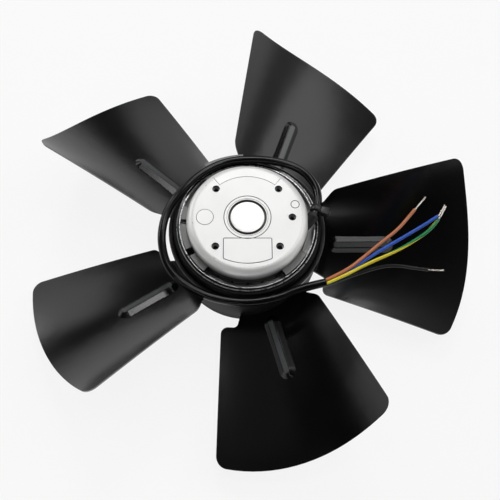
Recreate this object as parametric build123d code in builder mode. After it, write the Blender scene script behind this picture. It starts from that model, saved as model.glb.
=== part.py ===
"""Axial fan with an external-rotor motor, five sheet-steel blades and a loose connection cable.

The frame: millimetres, +Z along the fan's axis and out of the mounting face.
The origin is the centre of the flange's mounting face, in the plane of that face.
The stator (flange, bearing tube, core, winding) stands still; the rotor cup turns
round it and carries the one-piece pressed impeller.
Angles are measured from +X, anticlockwise as seen from the flange side.
"""

import os
from math import asin, cos, degrees, pi, radians, sin, tan

from build123d import *

os.makedirs("parts", exist_ok=True)

# Rotor: a deep-drawn cup with its own core and cast cage inside
rotor_diameter = 96.0
rotor_wall = 2.0
rotor_rim_depth = 12.5
rotor_end_depth = 68.0
rotor_end_radius = 7.0
rotor_boss_diameter = 20.0
rotor_boss_gap = 0.8
rotor_end_step = 1.0
rotor_core_width = 7.6
air_gap = 0.4
cage_ring_height = 2.2
cage_ring_inset = 1.2
cage_bar_count = 28
cage_bar_diameter = 2.6
shaft_top_depth = 3.6
shaft_end_recess = 0.4
balance_ring_depth = 10.8
balance_ring_width = 2.4
balance_ring_height = 4.6
balance_slot_width = 0.5
balance_slot_depth = 0.7
balance_slot_count = 24

# Flange: a die-cast cover that screws to the guard or wall ring
skirt_to_ring = 0.6
flange_edge_radius = 5.0
flange_wall_depth = 15.0
flange_plate = 4.5
flange_wall = 3.0

# Screw holes: four for mounting and one for the earth wire, all M4
screw_inset = 10.5
screw_count = 4
screw_hole_diameter = 4.0
screw_depth = 5.0
screw_chamfer = 0.5
screw_boss_diameter = 9.0
screw_boss_depth = 3.0
earth_angle = 0.0

# Skirt: the broken ring below the flange's edge that covers the rotor's open end
skirt_reach = 4.0
skirt_height = 4.0
skirt_top_depth = 9.5
skirt_arcs = ((92.0, 130.0), (163.0, 176.0), (181.0, 205.0), (212.0, 230.0), (304.0, 331.0))

# Closing pieces in the flange's face
cap_diameter = 26.4
cap_seat_depth = 2.4
cap_dome_diameter = 21.6
cap_groove_width = 1.4
cap_groove_depth = 1.7
cap_dome_rise = 0.5
cap_dome_edge = 0.4
cap_edge_drop = 0.1
cap_chamfer = 0.3
cap_line_diameter = 30.4
plug_diameter = 11.2
plug_inset = 12.0
plug_angle = 180.0
plug_length = 3.4
plug_boss_wall = 1.5
cover_inset = 10.0
cover_half_angle = 38.0
cover_thickness = 1.6
cover_gap = 0.3
legend_width = 30.8
legend_height = 14.2
legend_bulge = 3.3
legend_inset = 7.1
legend_line = 0.5
face_line_depth = 0.25
stamp_diameter = 5.8
stamp_inset = 7.2
stamp_angle = 16.5

# Bearings: two deep-groove ball bearings of the 608 size
bearing_bore = 8.0
bearing_outer = 22.0
bearing_width = 7.0
ball_diameter = 3.97
ball_circle = 15.0
ball_count = 7
race_clearance = 0.03
inner_ring_outer = 12.1
outer_ring_inner = 18.1
shield_thickness = 0.4
shield_gap = 0.15
cage_wall = 0.8
cage_width = 5.0
pocket_clearance = 0.06
upper_bearing_depth = 4.6
lower_bearing_inset = 1.0

# Bearing tube, cast in one with the flange
tube_diameter = 27.0
tube_shoulder_diameter = 19.6
tube_end_depth = 57.5
spring_height = 1.6
spring_wire = 0.5
circlip_thickness = 1.0
circlip_groove = 0.6

# Stator core and winding
core_top_depth = 22.0
core_height = 26.0
slot_count = 24
slot_depth = 15.0
slot_width = 2.8
slot_mouth = 1.6
slot_lip = 1.4
slot_liner = 0.3
slot_wedge = 1.6
insulator_inset = 0.5
coil_inner_reach = 6.0
coil_outer_inset = 3.0
coil_height = 5.0
coil_corner = 1.8
insulator_thickness = 0.8
protector_size = (9.0, 6.0, 1.6)
protector_corner = 1.2
protector_angle = 250.0

# Impeller: a collar pressed on the rotor cup and five blades, all of one steel sheet
impeller_diameter = 300.0
blade_count = 5
sheet = 1.5
collar_height = 30.0
lip_depth = 18.75
lip_bend = 0.75
lip_reach = 7.6
rim_reach = 2.0
lip_start_angle = 92.5
lip_end_angle = 120.5
lip_overlap = 0.5

# Blade form: where the two long edges start at the root and end at the tip
# Turning is clockwise seen from the flange, so the low edge leads
root_reach = 14.8
lead_root_angle = 38.34
lead_root_depth = 47.6
trail_root_angle = 97.37
trail_root_depth = 15.8
lead_tip_angle = 46.28
lead_tip_depth = 52.0
lead_tip_shrink = 2.0
trail_tip_angle = 87.64
trail_tip_rise = 8.06
trail_tip_shrink = 5.6
root_camber = 6.0
root_camber_shift = 2.5
tip_camber = 10.8
tip_camber_shift = 2.7
edge_bow = 1.3
tip_corner = 8.0
root_corner = 4.5
notch_corner = 3.0
notch_angle = 47.5
notch_reach = 10.0
notch_length = 3.8
root_trail_corner = 8.0
root_start_angle = 49.5
root_end_angle = 95.2
seat_bite = 0.6
surface_margin = 0.06
surface_rows = 11
surface_columns = 9

# Stiffening bead pressed into each blade
bead_angle = 69.8
bead_start = 6.0
bead_length = 44.0
bead_width = 12.0
bead_top_width = 4.6
bead_rise = 2.8
bead_edge = 0.9

# Connection cable and its four cores
cable_diameter = 5.4
core_wire_diameter = 2.1
bare_wire_diameter = 0.9
bend_share = 0.45
grommet_neck = 7.0
grommet_collar = 7.8
grommet_collar_width = 2.2
grommet_collar_start = 7.6
tie_band = 1.1
tie_width = 3.4
tie_head_size = (5.0, 4.6)
tie_head_corner = 0.8
tie_place = 0.47

# Routes of the cable and its cores: angle, reach beyond the flange's edge, height
cable_route = [
    (-5.6, -2.0, -6.2),
    (5.7, 4.4, -6.2),
    (16.1, 9.3, -6.3),
    (27.7, 12.8, -6.5),
    (40.2, 14.0, -6.8),
    (53.2, 12.8, -7.2),
    (68.9, 9.7, -7.5),
    (86.9, 7.7, -7.5),
    (107.5, 8.2, -7.5),
    (129.3, 8.2, -7.3),
    (151.0, 9.6, -7.6),
    (168.4, 14.3, -10.4),
    (185.8, 17.2, -12.9),
    (202.3, 18.8, -13.3),
    (215.6, 19.4, -13.2),
    (229.8, 16.9, -13.7),
    (245.8, 15.2, -14.2),
    (268.2, 13.9, -14.2),
    (290.6, 14.3, -13.5),
    (308.3, 15.9, -12.3),
    (320.6, 24.7, -10.6),
]

brown_route = [
    (-38.8, 23.7, -9.4),
    (-28.7, 31.3, -7.7),
    (-18.9, 38.3, -6.0),
    (-10.3, 47.4, -4.3),
    (-5.0, 56.2, -2.1),
    (-1.0, 62.1, -0.4),
    (2.6, 67.9, 1.2),
]
blue_route = [
    (-38.6, 23.9, -11.8),
    (-29.0, 31.4, -10.4),
    (-18.5, 41.0, -7.3),
    (-12.1, 51.0, -3.8),
    (-7.0, 62.5, -0.1),
    (-3.2, 73.8, 3.8),
    (-1.2, 80.3, 6.5),
]
green_yellow_route = [
    (-40.2, 25.5, -9.4),
    (-31.0, 32.2, -7.9),
    (-20.6, 42.9, -6.2),
    (-14.6, 54.8, -2.7),
    (-10.9, 63.0, -0.1),
    (-7.6, 70.5, 2.2),
    (-4.9, 76.7, 3.9),
    (-1.9, 80.9, 4.8),
]
black_route = [
    (-40.0, 25.7, -11.8),
    (-31.5, 32.9, -10.2),
    (-23.2, 45.5, -5.7),
    (-20.3, 53.6, -2.9),
    (-19.3, 62.3, -0.2),
    (-19.3, 69.6, 1.9),
    (-18.9, 77.3, 4.1),
]

# Stripped ends: each runs on from its core
brown_end_route = [brown_route[-1], (4.6, 71.9, 2.2), (6.3, 75.6, 3.2)]
blue_end_route = [blue_route[-1], (0.2, 82.9, 7.3), (2.1, 85.0, 8.0)]
green_yellow_end_route = [green_yellow_route[-1], (0.0, 83.9, 5.6), (2.0, 86.2, 6.5)]
black_end_route = [black_route[-1], (-18.6, 81.9, 5.3), (-18.1, 86.1, 6.2)]

# Sizes that follow from the ones above
rotor_radius = rotor_diameter / 2
rotor_bore = rotor_radius - rotor_wall
lower_bearing_depth = tube_end_depth - bearing_width - lower_bearing_inset
skirt_radius = rotor_bore - balance_ring_width - skirt_to_ring
flange_radius = skirt_radius - skirt_reach
cavity_radius = flange_radius - flange_wall
screw_circle_radius = flange_radius - screw_inset
plug_circle_radius = flange_radius - plug_inset
cover_inner_radius = flange_radius - cover_inset
stamp_radius = flange_radius - stamp_inset
legend_low = legend_inset + legend_bulge - flange_radius
rotor_core_radius = rotor_bore - rotor_core_width
core_radius = rotor_core_radius - air_gap
slot_middle = core_radius - slot_lip - slot_depth / 2
coil_inner_radius = tube_diameter / 2 + coil_inner_reach
coil_outer_radius = core_radius - coil_outer_inset
collar_radius = rotor_radius + sheet
lip_radius = collar_radius + lip_reach
blade_root_radius = collar_radius + root_reach
tip_radius = impeller_diameter / 2
core_bottom_depth = core_top_depth + core_height
cage_circle_radius = rotor_core_radius + cage_bar_diameter


def on_circle(radius, angle, z=0.0):
    """A point given by its distance from the fan's axis and its angle in degrees."""
    return Vector(radius * cos(radians(angle)), radius * sin(radians(angle)), z)


def between(a, b, share):
    return a + (b - a) * share


def route_points(route):
    """A cord's route as points: each is an angle, a reach beyond the flange's edge and a height."""
    return [on_circle(flange_radius + reach, angle, height) for angle, reach, height in route]


def finish_piece(part, name):
    """Name a finished piece and write it out."""
    part.label = name
    export_step(part, f"parts/{name}.step")


def ring(inner, outer, top, bottom):
    """A plain ring round the axis between two heights."""
    with BuildPart() as plain_ring:
        with BuildSketch(Plane.XY.offset(bottom)):
            Circle(outer)
            Circle(inner, mode=Mode.SUBTRACT)
        extrude(amount=top - bottom)
    return plain_ring.part


def cover_sector(gap):
    """The space of the cover: a sector of the face that runs out past the flange's edge."""
    gap_angle = degrees(gap / flange_radius)
    first = 90 - cover_half_angle + gap_angle
    sweep_angle = 2 * (cover_half_angle - gap_angle)
    with BuildPart() as sector:
        with BuildSketch(Plane.XY.offset(-cover_thickness)):
            with BuildLine():
                arc_out = CenterArc((0, 0), flange_radius + cover_inset, first, sweep_angle)
                arc_in = CenterArc((0, 0), cover_inner_radius + gap, first, sweep_angle)
                Line(arc_out @ 0, arc_in @ 0)
                Line(arc_out @ 1, arc_in @ 1)
            make_face()
        extrude(amount=2 * cover_thickness)
    return sector.part


# Stator flange: plate, side wall, skirt and bearing tube in one casting
with BuildPart() as stator_flange:
    with BuildSketch(Plane.XZ):
        with BuildLine():
            Polyline(
                (cap_diameter / 2, 0),
                (flange_radius, 0),
                (flange_radius, -flange_wall_depth),
                (cavity_radius, -flange_wall_depth),
                (cavity_radius, -flange_plate),
                (tube_diameter / 2, -flange_plate),
                (tube_diameter / 2, -tube_end_depth),
                (bearing_outer / 2, -tube_end_depth),
                (bearing_outer / 2, -lower_bearing_depth),
                (tube_shoulder_diameter / 2, -lower_bearing_depth),
                (tube_shoulder_diameter / 2, -upper_bearing_depth - bearing_width - spring_height),
                (bearing_outer / 2, -upper_bearing_depth - bearing_width - spring_height),
                (bearing_outer / 2, -cap_seat_depth),
                (cap_diameter / 2, -cap_seat_depth),
                close=True,
            )
        make_face()
    revolve(axis=Axis.Z)
    outer_edge = stator_flange.edges().filter_by(GeomType.CIRCLE).filter_by(lambda e: e.radius > flange_radius - 0.01)
    fillet(outer_edge.sort_by(Axis.Z)[-1], radius=flange_edge_radius)
    inner_corner = stator_flange.edges().filter_by(GeomType.CIRCLE).filter_by(
        lambda e: abs(e.radius - cavity_radius) < 0.01
    )
    fillet(inner_corner.sort_by(Axis.Z)[-1], radius=flange_edge_radius - flange_wall)
    # Screw bosses under the plate, then the tapped holes
    with BuildSketch(Plane.XY.offset(-flange_plate)):
        with PolarLocations(screw_circle_radius, screw_count, start_angle=45):
            Circle(screw_boss_diameter / 2)
        with Locations(on_circle(screw_circle_radius, earth_angle)):
            Circle(screw_boss_diameter / 2)
        with Locations(on_circle(plug_circle_radius, plug_angle)):
            Circle(plug_diameter / 2 + plug_boss_wall)
    extrude(amount=-screw_boss_depth)
    # Skirt arcs that hide the gap to the rotor
    for start, end in skirt_arcs:
        with BuildSketch(Plane.XZ.rotated((0, 0, start))):
            with Locations(((cavity_radius + skirt_radius) / 2, -skirt_top_depth - skirt_height / 2)):
                Rectangle(skirt_radius - cavity_radius, skirt_height)
        revolve(axis=Axis.Z, revolution_arc=end - start)
    # Groove for the upper bearing's retaining ring
    with BuildSketch(Plane.XZ):
        with Locations((bearing_outer / 2, -upper_bearing_depth + circlip_thickness / 2)):
            Rectangle(2 * circlip_groove, circlip_thickness)
    revolve(axis=Axis.Z, mode=Mode.SUBTRACT)
    # Seat of the cover over the connection space, open at the flange's edge
    add(cover_sector(0), mode=Mode.SUBTRACT)
    # Blind tapped holes, with a small chamfer at the mouth
    with Locations(Plane.XY):
        with PolarLocations(screw_circle_radius, screw_count, start_angle=45):
            Hole(screw_hole_diameter / 2, depth=screw_depth)
        with Locations(on_circle(screw_circle_radius, earth_angle)):
            Hole(screw_hole_diameter / 2, depth=screw_depth)
    mouths = stator_flange.faces().sort_by(Axis.Z)[-1].edges().filter_by(GeomType.CIRCLE)
    chamfer(mouths.filter_by(lambda e: abs(e.radius - screw_hole_diameter / 2) < 0.01), length=screw_chamfer)
    # Seat of the blind plug
    with BuildSketch(Plane.XY):
        with Locations(on_circle(plug_circle_radius, plug_angle)):
            Circle(plug_diameter / 2)
    extrude(amount=-plug_length, mode=Mode.SUBTRACT)
    # Raised-line details: a ring round the cap, the outline of a blank legend field, a blank round stamp
    with BuildSketch(Plane.XY):
        Circle(cap_line_diameter / 2)
        Circle(cap_line_diameter / 2 - legend_line, mode=Mode.SUBTRACT)
    extrude(amount=-face_line_depth, mode=Mode.SUBTRACT)
    with BuildSketch(Plane.XY):
        with Locations(on_circle(stamp_radius, stamp_angle)):
            Circle(stamp_diameter / 2)
            Circle(stamp_diameter / 2 - legend_line, mode=Mode.SUBTRACT)
    extrude(amount=-face_line_depth, mode=Mode.SUBTRACT)
    with BuildSketch(Plane.XY):
        with BuildLine():
            half = legend_width / 2
            legend_high = legend_low + legend_height
            Line((-half, legend_low), (-half, legend_high))
            Line((-half, legend_high), (half, legend_high))
            Line((half, legend_high), (half, legend_low))
            ThreePointArc((half, legend_low), (0, legend_low - legend_bulge), (-half, legend_low))
        make_face()
        fillet(vertices(), radius=1.0)
        offset(amount=-legend_line, mode=Mode.SUBTRACT)
    extrude(amount=-face_line_depth, mode=Mode.SUBTRACT)
    # Hole in the side wall for the cable's grommet
    exit_start, exit_end, tie_end = route_points(cable_route[:3])
    exit_plane = Plane(origin=exit_start, x_dir=(0, 0, 1), z_dir=exit_end - exit_start)
    with BuildSketch(exit_plane):
        Circle(grommet_neck / 2)
    extrude(amount=3 * flange_wall, both=True, mode=Mode.SUBTRACT)
finish_piece(stator_flange.part, "stator_flange")

# Cap that closes the bearing tube: a groove round a slightly domed disc
with BuildPart() as bearing_cap:
    with BuildSketch(Plane.XZ):
        with BuildLine():
            dome_edge = cap_dome_diameter / 2
            groove_edge = dome_edge + cap_groove_width
            dome_radius = (dome_edge**2 + cap_dome_rise**2) / (2 * cap_dome_rise)
            dome_half = degrees(asin(dome_edge / dome_radius))
            dome_start = degrees(pi / 2) - dome_half
            Polyline(
                (0, cap_dome_rise - cap_edge_drop),
                (0, -cap_seat_depth),
                (cap_diameter / 2, -cap_seat_depth),
                (cap_diameter / 2, 0),
                (groove_edge, 0),
                (groove_edge, -cap_groove_depth),
                (dome_edge, -cap_groove_depth),
                (dome_edge, -cap_edge_drop),
            )
            CenterArc((0, cap_dome_rise - cap_edge_drop - dome_radius), dome_radius, dome_start, dome_half)
        make_face()
    revolve(axis=Axis.Z)
    rims = bearing_cap.edges().filter_by(GeomType.CIRCLE).filter_by(lambda e: abs(e.center().Z) < cap_edge_drop / 2)
    chamfer(rims, length=cap_chamfer)
    dome_rim = bearing_cap.edges().filter_by(GeomType.CIRCLE).filter_by(
        lambda e: abs(e.center().Z + cap_edge_drop) < cap_edge_drop / 2
    )
    fillet(dome_rim, radius=cap_dome_edge)
finish_piece(bearing_cap.part, "bearing_cap")

# Plug in the blind hole beside the cap
with BuildPart() as blind_plug:
    with BuildSketch(Plane.XY.offset(-plug_length)):
        with Locations(on_circle(plug_circle_radius, plug_angle)):
            Circle(plug_diameter / 2)
    extrude(amount=plug_length)
    chamfer(blind_plug.faces().sort_by(Axis.Z)[-1].edges(), length=0.35)
finish_piece(blind_plug.part, "blind_plug")

# Cover over the connection space: it carries on the flange's face and rounded edge
with BuildPart() as connection_cover:
    with BuildSketch(Plane.XZ):
        with BuildLine():
            edge_start = flange_radius - flange_edge_radius
            Line((0, -flange_edge_radius), (0, 0))
            Line((0, 0), (edge_start, 0))
            CenterArc((edge_start, -flange_edge_radius), flange_edge_radius, 0, 90)
            Line((flange_radius, -flange_edge_radius), (0, -flange_edge_radius))
        make_face()
    revolve(axis=Axis.Z)
    add(cover_sector(cover_gap), mode=Mode.INTERSECT)
finish_piece(connection_cover.part, "connection_cover")


def slot_openings():
    """The winding slots as seen along the axis, each with its narrow mouth to the air gap."""
    with BuildSketch() as slots:
        with PolarLocations(slot_middle, slot_count):
            Rectangle(slot_depth, slot_width)
        with PolarLocations(core_radius - slot_lip, slot_count):
            Rectangle(3 * slot_lip, slot_mouth)
    return slots.sketch


# Stator core: a stack of slotted laminations pressed on the bearing tube
with BuildPart() as stator_core:
    with BuildSketch(Plane.XY.offset(-core_bottom_depth)):
        Circle(core_radius)
        Circle(tube_diameter / 2, mode=Mode.SUBTRACT)
        add(slot_openings(), mode=Mode.SUBTRACT)
    extrude(amount=core_height)
finish_piece(stator_core.part, "stator_core")

# Winding: two end bundles joined by a bar of wire through every slot
with BuildPart() as stator_winding:
    for base, height in (
        (-core_top_depth + insulator_thickness, coil_height),
        (-core_bottom_depth - insulator_thickness - coil_height, coil_height),
    ):
        with BuildSketch(Plane.XZ):
            with Locations(((coil_inner_radius + coil_outer_radius) / 2, base + height / 2)):
                RectangleRounded(coil_outer_radius - coil_inner_radius, height, coil_corner)
        revolve(axis=Axis.Z)
    with BuildSketch(Plane.XY.offset(-core_bottom_depth - insulator_thickness - slot_liner)):
        with PolarLocations(slot_middle, slot_count):
            Rectangle(slot_depth - 2 * slot_wedge, slot_width - 2 * slot_liner)
    extrude(amount=core_height + 2 * insulator_thickness + 2 * slot_liner)
finish_piece(stator_winding.part, "stator_winding")

# End insulators between the core and the winding's ends
for name, z_low in (
    ("insulator_upper", -core_top_depth),
    ("insulator_lower", -core_bottom_depth - insulator_thickness),
):
    with BuildPart() as insulator:
        with BuildSketch(Plane.XY.offset(z_low)):
            Circle(core_radius - insulator_inset)
            Circle(tube_diameter / 2, mode=Mode.SUBTRACT)
            add(slot_openings(), mode=Mode.SUBTRACT)
        extrude(amount=insulator_thickness)
    finish_piece(insulator.part, name)

# Thermal protector laid on the winding's upper end
with BuildPart() as thermal_protector:
    with BuildSketch(Plane.XY.offset(-core_top_depth + insulator_thickness + coil_height)):
        with Locations(on_circle((coil_inner_radius + coil_outer_radius) / 2, protector_angle)):
            RectangleRounded(protector_size[0], protector_size[1], protector_corner)
    extrude(amount=protector_size[2])
finish_piece(thermal_protector.part, "thermal_protector")


def make_bearing(name, top_depth):
    """The fixed outer ring, the turning inner ring, two shields, cage and balls of one bearing."""
    top = -top_depth
    bottom = top - bearing_width
    middle = (top + bottom) / 2
    race = ball_diameter / 2 + race_clearance
    with BuildPart() as outer_ring:
        add(ring(outer_ring_inner / 2, bearing_outer / 2, top, bottom))
        with BuildSketch(Plane.XZ):
            with Locations((ball_circle / 2, middle)):
                Circle(race)
        revolve(axis=Axis.Z, mode=Mode.SUBTRACT)
    finish_piece(outer_ring.part, f"{name}_outer_ring")
    with BuildPart() as inner_ring:
        add(ring(bearing_bore / 2, inner_ring_outer / 2, top, bottom))
        with BuildSketch(Plane.XZ):
            with Locations((ball_circle / 2, middle)):
                Circle(race)
        revolve(axis=Axis.Z, mode=Mode.SUBTRACT)
    finish_piece(inner_ring.part, f"{name}_inner_ring")
    with BuildPart() as shields:
        shield_inner = inner_ring_outer / 2 + shield_gap
        add(ring(shield_inner, outer_ring_inner / 2, top, top - shield_thickness))
        add(ring(shield_inner, outer_ring_inner / 2, bottom + shield_thickness, bottom))
    finish_piece(shields.part, f"{name}_shields")
    with BuildPart() as cage:
        cage_inner = ball_circle / 2 - cage_wall / 2
        add(ring(cage_inner, cage_inner + cage_wall, middle + cage_width / 2, middle - cage_width / 2))
        for index in range(ball_count):
            outward = on_circle(1, 360 / ball_count * index)
            with BuildSketch(Plane(origin=(0, 0, middle), z_dir=outward)):
                Circle(ball_diameter / 2 + pocket_clearance)
            extrude(amount=bearing_outer / 2, mode=Mode.SUBTRACT)
    finish_piece(cage.part, f"{name}_cage")
    with BuildPart() as balls:
        with PolarLocations(ball_circle / 2, ball_count):
            with Locations((0, 0, middle)):
                Sphere(ball_diameter / 2)
    finish_piece(balls.part, f"{name}_balls")


make_bearing("upper_bearing", upper_bearing_depth)
make_bearing("lower_bearing", lower_bearing_depth)

# Wavy preload spring under the upper bearing
with BuildPart() as preload_spring:
    add(
        ring(
            bearing_outer / 2 - 2.0,
            bearing_outer / 2 - 0.2,
            -upper_bearing_depth - bearing_width,
            -upper_bearing_depth - bearing_width - spring_height,
        )
    )
    with BuildSketch(Plane.XY.offset(-upper_bearing_depth - bearing_width - spring_wire)):
        with PolarLocations(bearing_outer / 2 - 1.1, 3):
            Rectangle(4, 9)
    extrude(amount=-spring_height, mode=Mode.SUBTRACT)
    with BuildSketch(Plane.XY.offset(-upper_bearing_depth - bearing_width - spring_height + spring_wire)):
        with PolarLocations(bearing_outer / 2 - 1.1, 3, start_angle=60):
            Rectangle(4, 9)
    extrude(amount=spring_height, mode=Mode.SUBTRACT)
finish_piece(preload_spring.part, "preload_spring")

# Retaining ring that holds the upper bearing in the tube
with BuildPart() as retaining_ring:
    clip_outer = bearing_outer / 2 + circlip_groove
    with BuildSketch(Plane.XY.offset(-upper_bearing_depth)):
        Circle(clip_outer)
        Circle(bearing_outer / 2 - 1.4, mode=Mode.SUBTRACT)
        with Locations((0, -clip_outer)):
            Rectangle(5.0, 8.0, mode=Mode.SUBTRACT)
    extrude(amount=circlip_thickness)
finish_piece(retaining_ring.part, "retaining_ring")

# Rotor cup, deep-drawn, with the boss that grips the shaft
with BuildPart() as rotor_cup:
    with BuildSketch(Plane.XZ):
        with BuildLine():
            Polyline(
                (bearing_bore / 2, -rotor_end_depth + rotor_end_step),
                (rotor_boss_diameter - 2 * rotor_end_step, -rotor_end_depth + rotor_end_step),
                (rotor_boss_diameter, -rotor_end_depth),
                (rotor_radius, -rotor_end_depth),
                (rotor_radius, -rotor_rim_depth),
                (rotor_bore, -rotor_rim_depth),
                (rotor_bore, -rotor_end_depth + rotor_wall),
                (rotor_boss_diameter - 2 * rotor_end_step, -rotor_end_depth + rotor_wall + rotor_end_step),
                (rotor_boss_diameter / 2, -rotor_end_depth + rotor_wall + rotor_end_step),
                (rotor_boss_diameter / 2, -tube_end_depth - rotor_boss_gap),
                (bearing_bore / 2, -tube_end_depth - rotor_boss_gap),
                close=True,
            )
        make_face()
    revolve(axis=Axis.Z)
    rims = rotor_cup.edges().filter_by(GeomType.CIRCLE)
    fillet(rims.filter_by(lambda e: abs(e.radius - rotor_radius) < 0.01).sort_by(Axis.Z)[0], radius=rotor_end_radius)
    rims = rotor_cup.edges().filter_by(GeomType.CIRCLE)
    inner_rims = rims.filter_by(lambda e: abs(e.radius - rotor_bore) < 0.01).sort_by(Axis.Z)
    fillet(inner_rims[0], radius=rotor_end_radius - rotor_wall)
    rims = rotor_cup.edges().filter_by(GeomType.CIRCLE)
    open_edges = rims.filter_by(lambda e: abs(e.center().Z + rotor_rim_depth) < 0.01)
    chamfer(open_edges.sort_by(SortBy.RADIUS)[-1], length=0.5)
finish_piece(rotor_cup.part, "rotor_cup")

# Rotor core: the ring of laminations in the cup, bored for the cage bars
with BuildPart() as rotor_core:
    with BuildSketch(Plane.XY.offset(-core_bottom_depth)):
        Circle(rotor_bore)
        Circle(rotor_core_radius, mode=Mode.SUBTRACT)
        with PolarLocations(cage_circle_radius, cage_bar_count):
            Circle(cage_bar_diameter / 2, mode=Mode.SUBTRACT)
    extrude(amount=core_height)
finish_piece(rotor_core.part, "rotor_core")

# Squirrel cage: two end rings joined by bars through the rotor core
with BuildPart() as rotor_cage:
    with BuildSketch(Plane.XY.offset(-core_bottom_depth)):
        with PolarLocations(cage_circle_radius, cage_bar_count):
            Circle(cage_bar_diameter / 2)
    extrude(amount=core_height)
    cage_outer = rotor_bore - cage_ring_inset
    add(ring(rotor_core_radius, cage_outer, -core_top_depth + cage_ring_height, -core_top_depth))
    add(ring(rotor_core_radius, cage_outer, -core_bottom_depth, -core_bottom_depth - cage_ring_height))
finish_piece(rotor_cage.part, "rotor_cage")

# Balancing ring pressed in the cup's mouth, with shallow slots for clip-on weights
with BuildPart() as balance_ring:
    add(
        ring(
            rotor_bore - balance_ring_width,
            rotor_bore,
            -balance_ring_depth,
            -balance_ring_depth - balance_ring_height,
        )
    )
    chamfer(balance_ring.faces().sort_by(Axis.Z)[-1].edges().sort_by(SortBy.RADIUS)[-1], length=0.5)
    with BuildSketch(Plane.XY.offset(-balance_ring_depth)):
        with PolarLocations(rotor_bore - balance_ring_width / 2, balance_slot_count):
            Rectangle(balance_ring_width * 2, balance_slot_width)
    extrude(amount=-balance_slot_depth, mode=Mode.SUBTRACT)
finish_piece(balance_ring.part, "balance_ring")

# Shaft, pressed in the rotor's boss and running in both bearings
with BuildPart() as shaft:
    with BuildSketch(Plane.XY.offset(-rotor_end_depth + shaft_end_recess)):
        Circle(bearing_bore / 2)
    extrude(amount=rotor_end_depth - shaft_end_recess - shaft_top_depth)
    chamfer(shaft.edges().filter_by(GeomType.CIRCLE), length=0.4)
finish_piece(shaft.part, "shaft")


def blade_point(along, across):
    """A point of the blade's middle surface.

    along runs from 0 at the root section to 1 at the tip, across from 0 at the
    leading edge to 1 at the trailing edge. Camber bends each section away from
    its chord, so the blade is hollow on the flange side.
    """
    arch = 4 * across * (1 - across)
    root = on_circle(
        blade_root_radius,
        between(lead_root_angle, trail_root_angle, across) + root_camber_shift * arch,
        between(-lead_root_depth, -trail_root_depth, across) - root_camber * arch,
    )
    tip = on_circle(
        tip_radius - between(lead_tip_shrink, trail_tip_shrink, across) * (1 - arch),
        between(lead_tip_angle, trail_tip_angle, across) + tip_camber_shift * arch,
        between(-lead_tip_depth, trail_tip_rise, across) - tip_camber * arch,
    )
    bow = edge_bow * 4 * along * (1 - along)
    return root + (tip - root) * along + Vector(0, 0, bow)


def blade_surface():
    """The middle surface, taken a little past the outline on every side."""
    first = -(root_reach + sheet + rotor_wall) / (tip_radius - blade_root_radius)
    last = 1 + surface_margin
    rows = []
    for i in range(surface_rows):
        along = between(first, last, i / (surface_rows - 1))
        shares = [between(-surface_margin, last, j / (surface_columns - 1)) for j in range(surface_columns)]
        rows.append([blade_point(along, across) for across in shares])
    return Face.make_surface_from_array_of_points(rows)


def blade_outline():
    """The blade as seen along the axis: straight long edges, a curved tip, a notched root."""
    tip_lead = on_circle(tip_radius - lead_tip_shrink, lead_tip_angle)
    tip_trail = on_circle(tip_radius - trail_tip_shrink, trail_tip_angle)
    tip_middle = on_circle(tip_radius, (lead_tip_angle + trail_tip_angle) / 2 + tip_camber_shift)
    root_trail = on_circle(blade_root_radius, trail_root_angle)
    root_lead = on_circle(blade_root_radius, lead_root_angle)
    seat = rotor_radius + seat_bite
    lead_corner = root_lead + (root_lead - tip_lead).normalized() * notch_length
    notch_inner = on_circle(collar_radius + notch_reach, notch_angle)
    seat_lead = on_circle(seat, root_start_angle)
    seat_trail = on_circle(seat, root_end_angle)
    seat_middle = on_circle(seat, (root_start_angle + root_end_angle) / 2)
    lip_trail = on_circle(lip_radius - lip_overlap, root_end_angle)
    with BuildSketch(Plane.XY) as outline:
        with BuildLine():
            ThreePointArc(tip_lead, tip_middle, tip_trail)
            Line(tip_trail, root_trail)
            Line(root_trail, lip_trail)
            Line(lip_trail, seat_trail)
            ThreePointArc(seat_trail, seat_middle, seat_lead)
            Line(seat_lead, notch_inner)
            Line(notch_inner, lead_corner)
            Line(lead_corner, tip_lead)
        make_face()
        corners = outline.vertices()
        fillet(corners.sort_by_distance(tip_lead)[0], radius=tip_corner)
        fillet(outline.vertices().sort_by_distance(tip_trail)[0], radius=tip_corner)
        fillet(outline.vertices().sort_by_distance(lead_corner)[0], radius=root_corner)
        fillet(outline.vertices().sort_by_distance(notch_inner)[0], radius=notch_corner)
        fillet(outline.vertices().sort_by_distance(root_trail)[0], radius=root_trail_corner)
    return outline.sketch


def sheet_layer(low, high, outline):
    """The slice of space between two offsets of the middle surface, cut to an outline."""
    surface = blade_surface()
    with BuildPart() as layer:
        thicken(to_thicken=surface, amount=high)
        thicken(to_thicken=surface, amount=low)
        with BuildSketch(Plane.XY):
            add(outline)
        extrude(amount=2 * rotor_end_depth, both=True, mode=Mode.INTERSECT)
    return layer.part


def bead_plane():
    """A plane on the blade's middle surface: x runs along the bead, z out of the sheet."""
    surface = blade_surface()
    ends = []
    for reach in (bead_start, bead_start + bead_length):
        upright = Axis(on_circle(collar_radius + reach, bead_angle), (0, 0, 1))
        ends.append(surface.find_intersection_points(upright)[0][0])
    middle = (ends[0] + ends[1]) / 2
    normal = surface.normal_at(middle)
    if normal.Z < 0:
        normal = -normal
    return Plane(origin=middle, x_dir=ends[1] - ends[0], z_dir=normal)


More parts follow.
